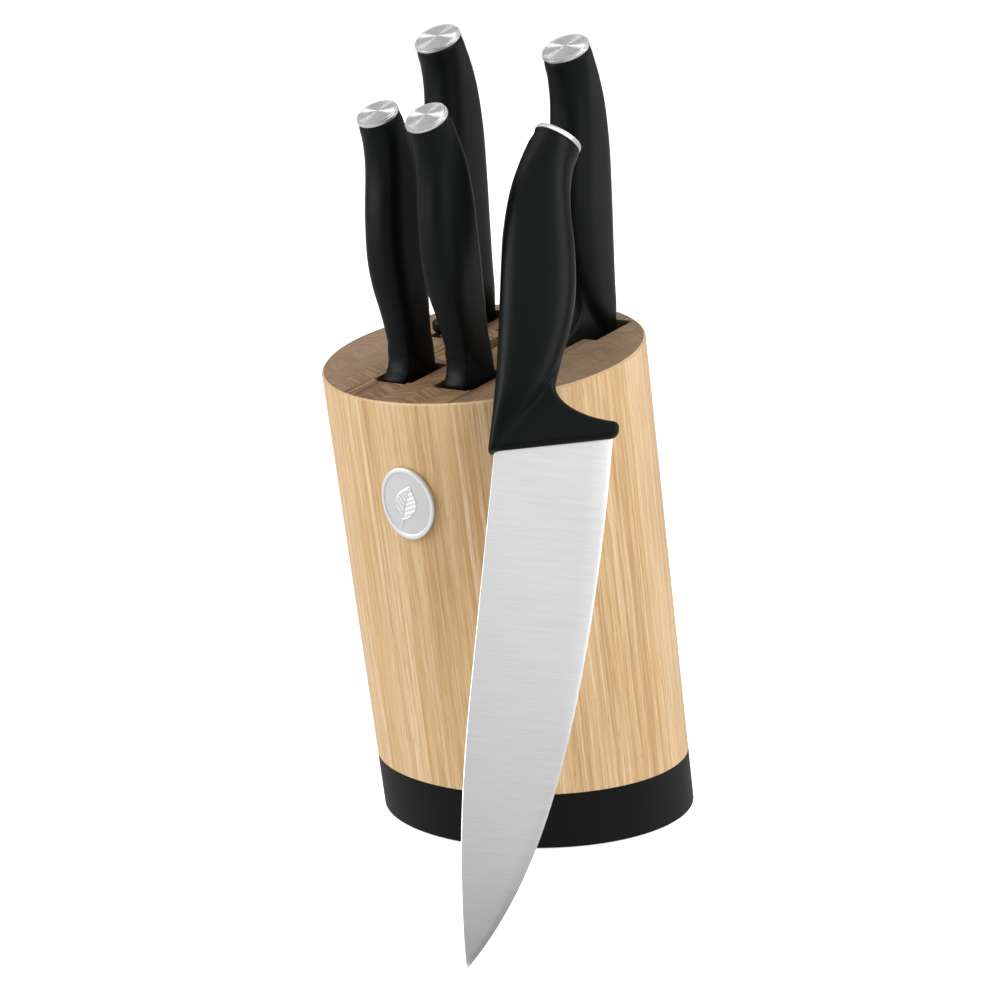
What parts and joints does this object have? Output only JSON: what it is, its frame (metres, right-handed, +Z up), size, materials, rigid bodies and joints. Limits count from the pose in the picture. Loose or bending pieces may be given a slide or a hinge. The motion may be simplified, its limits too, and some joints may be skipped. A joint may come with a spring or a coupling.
{
  "type": "knife block with knives",
  "caption": "Round leaning bamboo knife block on a black base, with kitchen knives that pull out of slots in its top and a chef's knife leaning on its front.",
  "frame": {"origin": "on the floor, in the middle of the block's underside", "axes": "+Z up, -Y towards the front, where the badge is and the block leans, +X to the right seen from the front"},
  "size_m": [0.1771, 0.25, 0.3438],
  "materials": {
    "bamboo": "satin, clear lacquer",
    "bamboo_dark": "satin, clear lacquer",
    "base_black": "matte",
    "pad_rubber": "matte",
    "screw_steel": "zinc plated",
    "soft_black": "soft touch",
    "blade_steel": "satin, cross ground",
    "cap_steel": "spun, bright rim",
    "badge_metal": "satin",
    "adhesive_foam": "matte"
  },
  "bodies": {
    "block": {"block_board_1": "bamboo", "block_board_2": "bamboo_dark", "block_board_3": "bamboo", "block_board_4": "bamboo_dark", "block_board_5": "bamboo", "block_board_6": "bamboo_dark", "base_shoe": "base_black", "base_screws": "screw_steel", "anti_slip_pad": "pad_rubber", "badge_plate": "badge_metal", "badge_adhesive_pad": "adhesive_foam"},
    "chef_knife": {"chef_blade": "blade_steel", "chef_handle": "soft_black", "chef_end_cap": "cap_steel"},
    "slicing_knife": {"slicing_blade": "blade_steel", "slicing_handle": "soft_black", "slicing_end_cap": "cap_steel"},
    "bread_knife": {"bread_blade": "blade_steel", "bread_handle": "soft_black", "bread_end_cap": "cap_steel"},
    "utility_knife": {"utility_blade_part": "blade_steel", "utility_handle": "soft_black", "utility_end_cap": "cap_steel"},
    "paring_knife": {"paring_blade_part": "blade_steel", "paring_handle": "soft_black", "paring_end_cap": "cap_steel"}
  },
  "joints": [
    {"name": "chef_knife_lift", "type": "slide", "parent": "block", "child": "chef_knife", "axis": [0.249, -0.2524, 0.935], "range_m": [0, 0.25]},
    {"name": "slicing_knife_pull", "type": "slide", "parent": "block", "child": "slicing_knife", "axis": [0, -0.1478, 0.989], "range_m": [0, 0.215]},
    {"name": "bread_knife_pull", "type": "slide", "parent": "block", "child": "bread_knife", "axis": [0, -0.1685, 0.9857], "range_m": [0, 0.21]},
    {"name": "utility_knife_pull", "type": "slide", "parent": "block", "child": "utility_knife", "axis": [0, -0.153, 0.9882], "range_m": [0, 0.14]},
    {"name": "paring_knife_pull", "type": "slide", "parent": "block", "child": "paring_knife", "axis": [0, -0.2351, 0.972], "range_m": [0, 0.105]}
  ]
}
